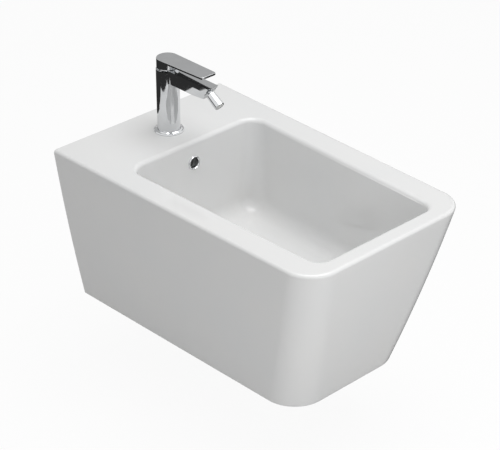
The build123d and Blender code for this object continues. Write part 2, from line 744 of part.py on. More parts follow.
def turning_guide():
    """Plastic rotor: a flange in the housing and a forked tower that holds the pin."""
    top_of_flange = HOUSING_TOP - HOUSING_LIP
    guide = bar(GUIDE_FLANGE_R, GUIDE_LOW, top_of_flange - 0.05)
    guide += bar(GUIDE_TOWER_R, GUIDE_LOW, GUIDE_TOP)
    slot_floor = top_of_flange
    guide -= block(
        -FORK_SLOT / 2, FORK_SLOT / 2, -GUIDE_TOWER_R - 1, GUIDE_TOWER_R + 1,
        slot_floor, GUIDE_TOP + 1,
    )
    swing = (PIVOT_HEIGHT - GUIDE_LOW) * sin(radians(LEVER_LIFT)) + TAIL_THICKNESS / 2 + 0.8
    half = TAIL_THICKNESS / 2 + 0.5
    guide -= block(-half, half, -swing, half + 0.3, GUIDE_LOW - 1, slot_floor + 1)
    pin_hole = Rot(0, 90, 0) * Cylinder(PIN_R + PIN_FIT / 2, 3 * GUIDE_TOWER_R)
    return guide - Pos(0, 0, PIVOT_HEIGHT) * pin_hole


def stem_pin():
    """Pin across the fork, on which the stem rocks."""
    span = 2 * sqrt(GUIDE_TOWER_R**2 - PIN_R**2) - 0.4
    return Pos(0, 0, PIVOT_HEIGHT) * Rot(0, 90, 0) * Cylinder(PIN_R, span)


def lever_stem():
    """Metal stem: square head in the lever, eye on the pin and a tail to the carrier."""
    half = STEM_SQUARE / 2
    socket_top = LEVER_TOP - STEM_SOCKET_ROOF
    head = block(-half, half, -half, half, PIVOT_HEIGHT, socket_top - 0.1)
    eye = Pos(0, 0, PIVOT_HEIGHT) * Rot(0, 90, 0) * Cylinder(PIVOT_EYE_R, STEM_SQUARE)
    tail_half = TAIL_THICKNESS / 2
    tail = block(-tail_half, tail_half, -tail_half, tail_half, TIP_HEIGHT, PIVOT_HEIGHT)
    tip = Pos(0, 0, TIP_HEIGHT) * Sphere(TAIL_TIP_R)
    stem = head + eye + tail + tip
    bore = Rot(0, 90, 0) * Cylinder(PIN_R + PIN_FIT, 2 * STEM_SQUARE)
    return stem - Pos(0, 0, PIVOT_HEIGHT) * bore


def cartridge_nut():
    """Threaded ring that holds the cartridge down, with four key notches."""
    low = SHOULDER_HEIGHT + HOUSING_FLANGE
    nut = ring(NUT_THREAD_R, NUT_RING_BORE_R, low, low + NUT_RING_HEIGHT)
    for turn in range(4):
        nut -= Rot(0, 0, 45 + 90 * turn) * block(
            NUT_RING_BORE_R + 0.9, NUT_THREAD_R - 0.4, -1.5, 1.5,
            low + NUT_RING_HEIGHT - 1.2, low + NUT_RING_HEIGHT + 1,
        )
    return nut


def dome_ring():
    """Chromed trim ring over the cartridge nut."""
    low = SHOULDER_HEIGHT + HOUSING_FLANGE + NUT_RING_HEIGHT
    return ring(RECESS_FLOOR_R - 1.1, DOME_RING_BORE_R, low, low + DOME_RING)


def lever_plan():
    """Plan of the lever: round at the hub, with tangent sides to a squared front."""
    front = LEVER_FRONT_HALF_WIDTH
    reach = sqrt(front**2 + LEVER_REACH**2)
    bearing = atan2(LEVER_REACH, front) - acos(LEVER_HUB_R / reach)
    touch = (LEVER_HUB_R * cos(bearing), -LEVER_HUB_R * sin(bearing))
    sides = Polyline((-touch[0], touch[1]), (-front, -LEVER_REACH), (front, -LEVER_REACH), touch)
    plan = make_face(sides + ThreePointArc(touch, (0, LEVER_HUB_R), (-touch[0], touch[1])))
    return fillet(plan.vertices().sort_by(Axis.Y)[:2], LEVER_CORNER_R)


def lever_handle():
    """Lever: thin blade on a hollow round hub that runs in the column's recess."""
    low = COLUMN_HEIGHT + HUB_GAP
    lean = radians(LEVER_RISE)
    top = Plane(origin=(0, 0, LEVER_TOP), x_dir=(1, 0, 0), z_dir=(0, sin(lean), cos(lean)))
    handle = extrude(Pos(0, 0, low) * lever_plan(), 2 * (LEVER_TOP - low))
    handle -= top * bar(2 * LEVER_REACH, 0, LEVER_TOP)
    below = top * bar(2 * LEVER_REACH, -LEVER_TOP, -LEVER_THICKNESS)
    handle -= below - bar(LEVER_HUB_R, 0, 2 * LEVER_TOP)
    handle = fillet(handle.faces().sort_by(Axis.Z)[-1].edges(), LEVER_EDGE_R)
    handle = fillet(handle.faces().sort_by(Axis.Z)[0].edges(), HUB_BOTTOM_R)
    handle -= bar(HUB_CAVITY_R, low - 1, HUB_ROOF)
    half = STEM_SQUARE / 2 + STEM_FIT
    handle -= block(-half, half, -half, half, HUB_ROOF - 1, LEVER_TOP - STEM_SOCKET_ROOF)
    handle -= Pos(0, 0, GRUB_BORE_HEIGHT) * to_rear(bar(GRUB_R + THREAD_FIT, 0, LEVER_HUB_R + 1))
    plug_seat = LEVER_HUB_R - PLUG_LENGTH
    handle -= Pos(0, 0, GRUB_BORE_HEIGHT) * to_rear(bar(PLUG_R, plug_seat, LEVER_HUB_R + 1))
    return handle


def to_rear(shape):
    """Turns a piece drawn along Z so that its +Z end points towards the wall."""
    return Rot(-90, 0, 0) * shape


def grub_screw():
    """Socket screw that holds the lever on its stem."""
    start = STEM_SQUARE / 2 + 0.02
    screw = bar(GRUB_R, start, start + GRUB_LENGTH)
    screw -= hexagon(2.0, start + GRUB_LENGTH - 2, start + GRUB_LENGTH + 1)
    return Pos(0, 0, GRUB_BORE_HEIGHT) * to_rear(screw)


def screw_cover():
    """Plain plug that hides the grub screw."""
    low = LEVER_HUB_R - PLUG_LENGTH
    plug = bar(PLUG_R - THREAD_FIT, low, LEVER_HUB_R - 0.1)
    return Pos(0, 0, GRUB_BORE_HEIGHT) * to_rear(plug)


def nozzle_collar():
    """Threaded collar that keeps the ball in the spout, with two key notches."""
    collar = bar(COLLAR_R, COLLAR_REAR, BALL_DEPTH)
    collar -= Sphere(BALL_R + BALL_FIT)
    collar -= bar(NECK_R + 2.05, 0, BALL_DEPTH + 1)
    for side in (-1, 1):
        collar -= Pos(side * (COLLAR_R - 0.9), 0, 0) * block(-0.9, 1.2, -1.2, 1.2, BALL_DEPTH - 1, 5)
    return NOZZLE * collar


def ball_liner():
    """Plastic ring that turns in the socket and carries the ball."""
    liner = bar(LINER_R, LINER_REAR, COLLAR_REAR - 0.1)
    return NOZZLE * (liner - Sphere(BALL_R + BALL_FIT) - bar(2.6, LINER_REAR - 1, 0))


def ball_seal():
    """Rubber seat behind the ball."""
    seal = bar(LINER_R, SOCKET_REAR, SOCKET_REAR + BALL_SEAL_LENGTH)
    seal -= Sphere(BALL_R + SEAL_TO_BALL)
    return NOZZLE * (seal - bar(4.4, SOCKET_REAR - 1, 0))


def nozzle_ball():
    """Bored ball with the neck that screws into the sleeve."""
    ball = Sphere(BALL_R) + bar(NECK_R, 0, SLEEVE_REAR + SLEEVE_HEAD)
    ball -= bar(BALL_BORE_R, -BALL_R - 1, SLEEVE_REAR + SLEEVE_HEAD + 1)
    return NOZZLE * ball


def nozzle_sleeve():
    """Slightly conical sleeve with the neck's thread and the aerator's seat."""
    seat = SLEEVE_FRONT - AERATOR_RECESS - AERATOR_LENGTH - AERATOR_SEAL_LENGTH
    sleeve = turned(
        (NECK_R + THREAD_FIT, SLEEVE_REAR),
        (SLEEVE_REAR_R - 0.6, SLEEVE_REAR),
        (SLEEVE_REAR_R, SLEEVE_REAR + 0.6),
        (SLEEVE_FRONT_R, SLEEVE_FRONT - 0.6),
        (SLEEVE_FRONT_R - 0.6, SLEEVE_FRONT),
        (AERATOR_R + THREAD_FIT, SLEEVE_FRONT),
        (AERATOR_R + THREAD_FIT, seat),
        (SLEEVE_BORE_R, seat),
        (SLEEVE_BORE_R, SLEEVE_REAR + SLEEVE_HEAD),
        (NECK_R + THREAD_FIT, SLEEVE_REAR + SLEEVE_HEAD),
    )
    return NOZZLE * sleeve


def aerator_insert():
    """Plastic insert with a ring of outlet holes."""
    high = SLEEVE_FRONT - AERATOR_RECESS
    insert = bar(AERATOR_R, high - AERATOR_LENGTH, high)
    insert -= bar(AERATOR_R - 1.2, high - AERATOR_LENGTH + 1.5, high - 2)
    hole = bar(AERATOR_HOLE_R, high - AERATOR_LENGTH - 1, high + 1)
    insert -= hole
    for turn in range(AERATOR_HOLES):
        insert -= Rot(0, 0, 360 * turn / AERATOR_HOLES) * Pos(AERATOR_HOLE_RING_R, 0, 0) * hole
    return NOZZLE * insert


def aerator_seal():
    """Rubber ring behind the aerator insert."""
    low = SLEEVE_FRONT - AERATOR_RECESS - AERATOR_LENGTH - AERATOR_SEAL_LENGTH
    return NOZZLE * ring(AERATOR_R, SLEEVE_BORE_R + 0.5, low, low + AERATOR_SEAL_LENGTH)


# Waste, heights in the body's frame
SEAT_Z = DRAIN_Z - DRAIN_SEAT_DEPTH
FLANGE_Z = SEAT_Z + UPPER_SEAL
FLANGE_TOP = FLANGE_Z + FLANGE_THICKNESS
TAIL_Z = FLANGE_Z - WASTE_LENGTH
WINDOW_TOP = FLANGE_Z - OVERFLOW_WINDOW_DROP
SPIDER_TOP = FLANGE_Z - SPIDER_DROP
CAP_Z = FLANGE_TOP + PLUG_CLOSED_GAP + PLUG_TRAVEL


def waste_body():
    """Flanged tube with a seat for the plug, overflow windows and a spider."""
    groove_low = TAIL_Z + TAIL_THREAD
    tube = turned(
        (WASTE_BORE_R, TAIL_Z),
        (WASTE_R - WASTE_CHAMFER, TAIL_Z),
        (WASTE_R, TAIL_Z + WASTE_CHAMFER),
        (WASTE_R, groove_low),
        (WASTE_R - TAIL_GROOVE_DEPTH, groove_low),
        (WASTE_R - TAIL_GROOVE_DEPTH, groove_low + TAIL_GROOVE),
        (WASTE_R, groove_low + TAIL_GROOVE),
        (WASTE_R, FLANGE_Z),
        (FLANGE_R - FLANGE_EDGE, FLANGE_Z),
        (FLANGE_R, FLANGE_Z + FLANGE_EDGE),
        (FLANGE_R - FLANGE_BEVEL, FLANGE_TOP),
        (FLANGE_SEAT_R, FLANGE_TOP),
        (FLANGE_SEAT_FOOT_R, FLANGE_TOP - FLANGE_SEAT_DEPTH),
        (WASTE_BORE_R, FLANGE_TOP - FLANGE_SEAT_DEPTH - FLANGE_THROAT),
    )
    half = OVERFLOW_WINDOW / 2
    window_low = WINDOW_TOP - OVERFLOW_WINDOW_HEIGHT
    for turn in (0, 90, 180, 270):
        window = block(WASTE_BORE_R - 2, WASTE_R + 2, -half, half, window_low, WINDOW_TOP)
        tube -= Rot(0, 0, turn) * window
    arm_low = SPIDER_TOP - SPIDER_THICKNESS
    spider = bar(SPIDER_HUB_R, arm_low, SPIDER_TOP)
    for turn in (90, 210, 330):
        arm = block(0, WASTE_BORE_R + 1, -SPIDER_ARM / 2, SPIDER_ARM / 2, arm_low, SPIDER_TOP)
        spider += Rot(0, 0, turn) * arm
    spider -= bar(SPIDER_BORE_R + THREAD_FIT, arm_low - 1, SPIDER_TOP + 1)
    return tube + spider


def plug_guide():
    """Push mechanism's sleeve, screwed into the spider."""
    guide = bar(PLUG_GUIDE_R, SPIDER_TOP, SPIDER_TOP + PLUG_GUIDE_HEIGHT)
    guide += bar(SPIDER_BORE_R, SPIDER_TOP - PLUG_GUIDE_SCREW, SPIDER_TOP)
    bore_floor = SPIDER_TOP + PLUG_GUIDE_FLOOR
    return guide - bar(PLUG_STEM_R + PLUG_STEM_FIT, bore_floor, bore_floor + PLUG_GUIDE_HEIGHT)


def plug_stem():
    """Pusher that carries the plug and slides in the guide."""
    low = SPIDER_TOP + PLUG_GUIDE_FLOOR + PLUG_TRAVEL + PLUG_CLOSED_GAP
    return bar(PLUG_STEM_R, low, CAP_Z + PLUG_STEM_SOCKET)


def plug_cap():
    """Domed plug."""
    rise = PLUG_CAP_HEIGHT
    edge = PLUG_CAP_R
    foot = edge - PLUG_CAP_UNDERCUT
    rim_z = CAP_Z + PLUG_CAP_EDGE
    section = make_face(
        Polyline((foot, 0, CAP_Z), (0, 0, CAP_Z), (0, 0, CAP_Z + rise))
        + ThreePointArc(
            (0, 0, CAP_Z + rise), (edge / 2, 0, CAP_Z + rise * 0.82), (edge, 0, rim_z)
        )
        + Polyline((edge, 0, rim_z), (edge, 0, CAP_Z + PLUG_CAP_CHAMFER), (foot, 0, CAP_Z))
    )
    return revolve(section, Axis.Z) - bar(PLUG_STEM_R, CAP_Z - 1, CAP_Z + PLUG_STEM_SOCKET)


def plug_seal():
    """Rubber ring under the plug."""
    return ring(PLUG_SEAL_R, PLUG_SEAL_BORE_R, CAP_Z - PLUG_SEAL_THICKNESS, CAP_Z)


def upper_seal():
    """Rubber ring under the waste's flange."""
    return ring(UPPER_SEAL_R, UPPER_SEAL_BORE_R, SEAT_Z, FLANGE_Z)


def lower_seal():
    """Conical rubber seal under the drain boss."""
    bore = WASTE_R + WASTE_FIT
    return turned(
        (bore, BOSS_Z),
        (bore, BOSS_Z - LOWER_SEAL),
        (LOWER_SEAL_R, BOSS_Z - LOWER_SEAL),
        (LOWER_SEAL_R, BOSS_Z - LOWER_SEAL + LOWER_SEAL_RIM),
        (LOWER_SEAL_R - LOWER_SEAL_TAPER, BOSS_Z),
    )


def slip_washer():
    """Flat plastic washer between the lower seal and the nut."""
    high = BOSS_Z - LOWER_SEAL
    return ring(SLIP_WASHER_R, WASTE_R + WASTE_FIT, high - SLIP_WASHER, high)


def waste_locknut():
    """Lugged backnut on the waste's thread."""
    high = BOSS_Z - LOWER_SEAL - SLIP_WASHER
    low = high - LOCKNUT_HEIGHT
    nut = bar(LOCKNUT_R - LOCKNUT_LUG_DEPTH, low, high)
    nut += bar(LOCKNUT_R, high - LOCKNUT_FLANGE, high)
    half = LOCKNUT_LUG_WIDTH / 2
    for turn in range(LOCKNUT_LUGS):
        lug = block(0, LOCKNUT_R, -half, half, low, high)
        nut += Rot(0, 0, 360 * turn / LOCKNUT_LUGS) * lug
    return nut - bar(WASTE_R + THREAD_FIT, low - 1, high + 1)


TAP_PIECES = {
    "tap_body": tap_body,
    "tap_base_ring": tap_base_ring,
    "tap_base_seal": tap_base_seal,
    "tap_stud": tap_stud,
    "clamp_nut": clamp_nut,
    "cartridge_base": cartridge_base,
    "fixed_disc": fixed_disc,
    "moving_disc": moving_disc,
    "disc_carrier": disc_carrier,
    "cartridge_housing": cartridge_housing,
    "turning_guide": turning_guide,
    "stem_pin": stem_pin,
    "lever_stem": lever_stem,
    "cartridge_nut": cartridge_nut,
    "dome_ring": dome_ring,
    "lever_handle": lever_handle,
    "grub_screw": grub_screw,
    "screw_cover": screw_cover,
    "nozzle_collar": nozzle_collar,
    "ball_liner": ball_liner,
    "ball_seal": ball_seal,
    "nozzle_ball": nozzle_ball,
    "nozzle_sleeve": nozzle_sleeve,
    "aerator_insert": aerator_insert,
    "aerator_seal": aerator_seal,
}

WASTE_PIECES = {
    "waste_body": waste_body,
    "waste_upper_seal": upper_seal,
    "waste_lower_seal": lower_seal,
    "waste_slip_washer": slip_washer,
    "waste_locknut": waste_locknut,
    "plug_guide": plug_guide,
    "plug_stem": plug_stem,
    "plug_cap": plug_cap,
    "plug_seal": plug_seal,
}


def main():
    """Builds and writes every piece."""
    os.makedirs("parts", exist_ok=True)
    save("ceramic_body", ceramic_body())
    save("overflow_ring", overflow_ring())
    wall_fixings()
    for name, make in TAP_PIECES.items():
        save(name, TAP * make())
    save("cartridge_seals", cartridge_seals())
    gasket_low = -DECK_THICKNESS - CLAMP_GASKET
    save("clamp_gasket", TAP * horseshoe(gasket_low, -DECK_THICKNESS))
    save("clamp_washer", TAP * horseshoe(gasket_low - CLAMP_WASHER, gasket_low))
    for name, make in WASTE_PIECES.items():
        save(name, DRAIN * make())
    ball = TAP * Pos(0, BALL_Y, BALL_HEIGHT)
    print("ball centre", ball.position, "pivot height", DECK_Z + PIVOT_HEIGHT)


main()
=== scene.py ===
"""Studio view of a wall-hung bidet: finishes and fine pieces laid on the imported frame."""

import json
import logging
import math
from dataclasses import dataclass, field
from enum import Enum

import bmesh
import bpy
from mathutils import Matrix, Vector


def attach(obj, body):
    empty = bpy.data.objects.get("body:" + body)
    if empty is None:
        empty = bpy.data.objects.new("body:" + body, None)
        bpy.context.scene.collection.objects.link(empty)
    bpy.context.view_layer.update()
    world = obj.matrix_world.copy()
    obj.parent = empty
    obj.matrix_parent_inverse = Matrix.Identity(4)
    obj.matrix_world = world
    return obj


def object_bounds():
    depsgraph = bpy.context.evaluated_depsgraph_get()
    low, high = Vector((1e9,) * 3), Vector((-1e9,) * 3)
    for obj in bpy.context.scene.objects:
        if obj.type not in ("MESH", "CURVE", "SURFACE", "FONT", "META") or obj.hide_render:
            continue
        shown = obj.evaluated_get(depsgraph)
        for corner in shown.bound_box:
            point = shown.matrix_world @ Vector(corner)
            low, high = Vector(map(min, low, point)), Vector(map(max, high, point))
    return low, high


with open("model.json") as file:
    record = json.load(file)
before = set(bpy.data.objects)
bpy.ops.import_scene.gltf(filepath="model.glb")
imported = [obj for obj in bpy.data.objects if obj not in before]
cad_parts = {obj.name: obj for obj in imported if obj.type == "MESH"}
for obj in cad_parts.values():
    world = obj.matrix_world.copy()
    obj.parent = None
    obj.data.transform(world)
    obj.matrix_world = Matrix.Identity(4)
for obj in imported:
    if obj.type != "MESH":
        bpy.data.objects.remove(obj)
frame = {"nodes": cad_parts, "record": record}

log = logging.getLogger("bidet")
CAD_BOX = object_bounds()
SHARP_ANGLE = math.radians(50)
SENSOR_WIDTH = 36.0


class Slot(Enum):
    """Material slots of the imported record."""

    GLAZE = "glaze"
    CHROME = "chrome"
    RUBBER = "rubber"
    WHITE_PLASTIC = "white_plastic"
    GREY_PLASTIC = "grey_plastic"
    STEEL = "steel"
    BRASS = "brass"
    DISC_CERAMIC = "disc_ceramic"


class Graph:
    """Adds and links the shader nodes of one material or world."""

    NOISE_LOW, NOISE_HIGH = 0.3, 0.7
    TWO_OCTAVES, THREE_OCTAVES, FOUR_OCTAVES = 2.0, 3.0, 4.0
    MIX_FIRST, MIX_SECOND, MIX_RESULT = 6, 7, 2

    def __init__(self, owner: bpy.types.ID) -> None:
        """Clears the owner's node tree.

        Args:
            owner: material or world whose nodes are made anew.
        """
        owner.use_nodes = True
        self.tree = owner.node_tree
        self.tree.nodes.clear()

    def add(self, kind: str, inputs: dict | None = None, **settings: object) -> bpy.types.Node:
        """Adds one node.

        Args:
            kind: type name of the node.
            inputs: values or output sockets, by the name or number of the input.
            settings: attributes of the node itself.

        Returns:
            The new node.
        """
        node = self.tree.nodes.new(kind)
        for name, value in settings.items():
            setattr(node, name, value)
        for key, value in (inputs or {}).items():
            if isinstance(value, bpy.types.NodeSocket):
                self.tree.links.new(value, node.inputs[key])
            else:
                node.inputs[key].default_value = value
        return node

    def place(self) -> bpy.types.NodeSocket:
        """Gives the coordinates of the piece itself, in metres."""
        return self.add("ShaderNodeTexCoord").outputs["Object"]

    def seen(self) -> bpy.types.NodeSocket:
        """Tells rays that show the background from rays that only light.

        Returns:
            1 for camera, glossy and transmission rays, and 0 for the others.
        """
        path = self.add("ShaderNodeLightPath")
        seen = path.outputs["Is Camera Ray"]
        for kind in ("Is Glossy Ray", "Is Transmission Ray"):
            inputs = {0: seen, 1: path.outputs[kind]}
            seen = self.add("ShaderNodeMath", inputs, operation="MAXIMUM").outputs[0]
        return seen

    def noise(
        self, where: bpy.types.NodeSocket, scale: float, detail: float
    ) -> bpy.types.NodeSocket:
        """Adds a noise texture.

        Args:
            where: coordinates in metres.
            scale: waves per metre.
            detail: octaves.

        Returns:
            Its factor output.
        """
        texture = self.add(
            "ShaderNodeTexNoise", {"Vector": where, "Scale": scale, "Detail": detail}
        )
        return texture.outputs["Fac"]

    def spread(
        self, value: bpy.types.NodeSocket, low: float, high: float
    ) -> bpy.types.NodeSocket:
        """Maps a factor that swings about a half to a range.

        Args:
            value: factor socket.
            low: result at the low end of the noise.
            high: result at its high end.

        Returns:
            The mapped value.
        """
        node = self.add(
            "ShaderNodeMapRange",
            {
                "Value": value,
                "From Min": self.NOISE_LOW,
                "From Max": self.NOISE_HIGH,
                "To Min": low,
                "To Max": high,
            },
        )
        return node.outputs["Result"]

    def blend(
        self,
        share: bpy.types.NodeSocket,
        first: tuple | bpy.types.NodeSocket,
        second: tuple | bpy.types.NodeSocket,
    ) -> bpy.types.NodeSocket:
        """Mixes two colours.

        Args:
            share: factor socket, 0 for the first colour.
            first: red, green and blue, or a colour socket.
            second: red, green and blue, or a colour socket.

        Returns:
            The mixed colour.
        """
        ends = [(*end, 1) if isinstance(end, tuple) else end for end in (first, second)]
        inputs = {0: share, self.MIX_FIRST: ends[0], self.MIX_SECOND: ends[1]}
        return self.add("ShaderNodeMix", inputs, data_type="RGBA").outputs[self.MIX_RESULT]

    def mottle(
        self, cloud: bpy.types.NodeSocket, first: tuple, second: tuple
    ) -> bpy.types.NodeSocket:
        """Mixes two colours by a cloud of noise.

        Args:
            cloud: noise factor.
            first: red, green and blue where the noise is low.
            second: red, green and blue where it is high.

        Returns:
            The mixed colour.
        """
        return self.blend(self.spread(cloud, 0.0, 1.0), first, second)

    def bump(
        self, height: bpy.types.NodeSocket, depth: float, under: bpy.types.NodeSocket | None = None
    ) -> bpy.types.NodeSocket:
        """Adds a bump of a stated depth.

        Args:
            height: height map, 0 to 1.
            depth: depth in metres.
            under: normal that this bump lies on.

        Returns:
            The bumped normal.
        """
        inputs = {"Height": height, "Distance": depth, "Strength": 1.0}
        if under is not None:
            inputs["Normal"] = under
        return self.add("ShaderNodeBump", inputs).outputs["Normal"]

    def surface(self, inputs: dict) -> None:
        """Adds the principled shader and the output.

        Args:
            inputs: values or sockets of the shader.
        """
        shader = self.add("ShaderNodeBsdfPrincipled", inputs)
        self.add("ShaderNodeOutputMaterial", {"Surface": shader.outputs[0]})


@dataclass(frozen=True)
class Glaze:
    """White glaze on vitreous china, bare on the foot it was fired on."""

    colour: tuple = (0.80, 0.80, 0.795)
    shade: tuple = (0.785, 0.79, 0.79)
    bisque: tuple = (0.72, 0.69, 0.63)
    foot_z: float = -0.2044
    foot_fade: float = 0.0003
    cloud_scale: float = 9.0
    ripple_scale: float = 38.0
    peel_scale: float = 700.0
    ripple_depth: float = 0.00012
    peel_depth: float = 0.000004
    smooth: float = 0.07
    rough: float = 0.12
    refraction: float = 1.52

    def make(self) -> bpy.types.Material:
        """Makes the material."""
        material = bpy.data.materials.new("white_glaze")
        graph = Graph(material)
        place = graph.place()
        cloud = graph.noise(place, self.cloud_scale, graph.TWO_OCTAVES)
        ripple = graph.noise(place, self.ripple_scale, graph.THREE_OCTAVES)
        peel = graph.noise(place, self.peel_scale, graph.TWO_OCTAVES)
        split = graph.add("ShaderNodeSeparateXYZ", {0: place})
        foot = graph.add(
            "ShaderNodeMapRange",
            {
                "Value": split.outputs["Z"],
                "From Min": self.foot_z,
                "From Max": self.foot_z - self.foot_fade,
            },
        ).outputs["Result"]
        body = graph.mottle(cloud, self.colour, self.shade)
        colour = graph.blend(foot, body, self.bisque)
        gloss = graph.spread(ripple, self.smooth, self.rough)
        rough = graph.add("ShaderNodeMath", {0: gloss, 1: foot}, operation="MAXIMUM")
        waves = graph.bump(ripple, self.ripple_depth)
        graph.surface(
            {
                "Base Color": colour,
                "Roughness": rough.outputs[0],
                "IOR": self.refraction,
                "Normal": graph.bump(peel, self.peel_depth, waves),
            }
        )
        return material


@dataclass(frozen=True)
class Chrome:
    """Polished chrome plate with the faint ripple of buffed brass."""

    colour: tuple = (0.70, 0.71, 0.72)
    worn: tuple = (0.66, 0.67, 0.68)
    cloud_scale: float = 60.0
    ripple_scale: float = 120.0
    ripple_depth: float = 0.00001
    smooth: float = 0.045
    rough: float = 0.075

    def make(self) -> bpy.types.Material:
        """Makes the material."""
        material = bpy.data.materials.new("polished_chrome")
        graph = Graph(material)
        place = graph.place()
        cloud = graph.noise(place, self.cloud_scale, graph.THREE_OCTAVES)
        ripple = graph.noise(place, self.ripple_scale, graph.TWO_OCTAVES)
        graph.surface(
            {
                "Base Color": graph.mottle(cloud, self.colour, self.worn),
                "Metallic": 1.0,
                "Roughness": graph.spread(cloud, self.smooth, self.rough),
                "Normal": graph.bump(ripple, self.ripple_depth),
            }
        )
        return material


@dataclass(frozen=True)
class Moulded:
    """Moulded plastic or rubber with a fine spark-eroded grain."""

    name: str
    colour: tuple
    shade: tuple
    rough: float
    swing: float = 0.05
    cloud_scale: float = 80.0
    grain_scale: float = 2500.0
    grain_depth: float = 0.00002

    def make(self) -> bpy.types.Material:
        """Makes the material."""
        material = bpy.data.materials.new(self.name)
        graph = Graph(material)
        place = graph.place()
        cloud = graph.noise(place, self.cloud_scale, graph.THREE_OCTAVES)
        grain = graph.noise(place, self.grain_scale, graph.TWO_OCTAVES)
        graph.surface(
            {
                "Base Color": graph.mottle(cloud, self.colour, self.shade),
                "Roughness": graph.spread(
                    cloud, self.rough - self.swing, self.rough + self.swing
                ),
                "Normal": graph.bump(grain, self.grain_depth),
            }
        )
        return material


@dataclass(frozen=True)
class Machined:
    """Turned or plated metal with fine tool lines."""

    name: str
    colour: tuple
    shade: tuple
    rough: float
    brighter: float = 0.06
    duller: float = 0.08
    cloud_scale: float = 150.0
    line_scale: float = 2200.0
    line_wander: float = 2.0
    line_depth: float = 0.000005

    def make(self) -> bpy.types.Material:
        """Makes the material."""
        material = bpy.data.materials.new(self.name)
        graph = Graph(material)
        place = graph.place()
        cloud = graph.noise(place, self.cloud_scale, graph.FOUR_OCTAVES)
        tool = graph.add(
            "ShaderNodeTexWave",
            {
                "Vector": place,
                "Scale": self.line_scale,
                "Distortion": self.line_wander,
                "Detail": graph.TWO_OCTAVES,
            },
            bands_direction="Z",
        )
        graph.surface(
            {
                "Base Color": graph.mottle(cloud, self.colour, self.shade),
                "Metallic": 1.0,
                "Roughness": graph.spread(
                    cloud, self.rough - self.brighter, self.rough + self.duller
                ),
                "Normal": graph.bump(tool.outputs["Fac"], self.line_depth),
            }
        )
        return material


@dataclass
class Palette:
    """One finish for each slot of the record."""

    finishes: dict = field(
        default_factory=lambda: {
            Slot.GLAZE: Glaze(),
            Slot.CHROME: Chrome(),
            Slot.RUBBER: Moulded("black_rubber", (0.03, 0.03, 0.03), (0.045, 0.045, 0.045), 0.7),
            Slot.WHITE_PLASTIC: Moulded(
                "white_plastic", (0.72, 0.72, 0.70), (0.68, 0.68, 0.66), 0.45
            ),
            Slot.GREY_PLASTIC: Moulded("grey_plastic", (0.20, 0.21, 0.22), (0.17, 0.18, 0.19), 0.5),
            Slot.STEEL: Machined("zinc_steel", (0.56, 0.56, 0.57), (0.46, 0.46, 0.48), 0.34),
            Slot.BRASS: Machined("turned_brass", (0.70, 0.52, 0.26), (0.60, 0.43, 0.20), 0.26),
            Slot.DISC_CERAMIC: Moulded("lapped_disc", (0.80, 0.78, 0.72), (0.76, 0.74, 0.68), 0.2),
        }
    )
    made: dict = field(default_factory=dict)

    def material(self, slot: Slot) -> bpy.types.Material:
        """Gives the material of a slot, made once.

        Args:
            slot: slot of the record.

        Returns:
            The slot's material.
        """
        if slot not in self.made:
            self.made[slot] = self.finishes[slot].make()
        return self.made[slot]

    def dress_node(self, name: str) -> None:
        """Puts its slot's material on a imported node.

        Args:
            name: name of the node.
        """
        rows = {row["node"]: row["material_slot"] for row in frame["record"]["subparts"]}
        node = frame["nodes"][name]
        material = self.material(Slot(rows[name]))
        for place in node.material_slots:
            place.material = material


@dataclass
class Nodes:
    """A sub-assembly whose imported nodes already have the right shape."""

    title: str
    names: tuple[str, ...]

    def build(self, palette: Palette) -> int:
        """Dresses the nodes.

        Args:
            palette: finishes by slot.

        Returns:
            How many pieces were dressed.
        """
        for name in self.names:
            palette.dress_node(name)
        return len(self.names)


def add_piece(
    name: str, points: list, faces: list, palette: Palette, slot: Slot
) -> bpy.types.Object:
    """Makes a smooth mesh piece that rides on the fixed body.

    Args:
        name: name of the piece.
        points: corners in metres.
        faces: corner numbers of each face.
        palette: finishes by slot.
        slot: slot that the piece takes its finish from.

    Returns:
        The new object.
    """
    mesh = bpy.data.meshes.new(name)
    mesh.from_pydata(points, [], faces)
    work = bmesh.new()
    work.from_mesh(mesh)
    bmesh.ops.recalc_face_normals(work, faces=work.faces)
    work.to_mesh(mesh)
    work.free()
    mesh.shade_smooth()
    mesh.set_sharp_from_angle(angle=SHARP_ANGLE)
    mesh.materials.append(palette.material(slot))
    piece = bpy.data.objects.new(name, mesh)
    bpy.context.scene.collection.objects.link(piece)
    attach(piece, "bidet")
    return piece


@dataclass(frozen=True)
class Station:
    """One place on the body's plan, with its outward direction."""

    x: float
    y: float
    out_x: float
    out_y: float


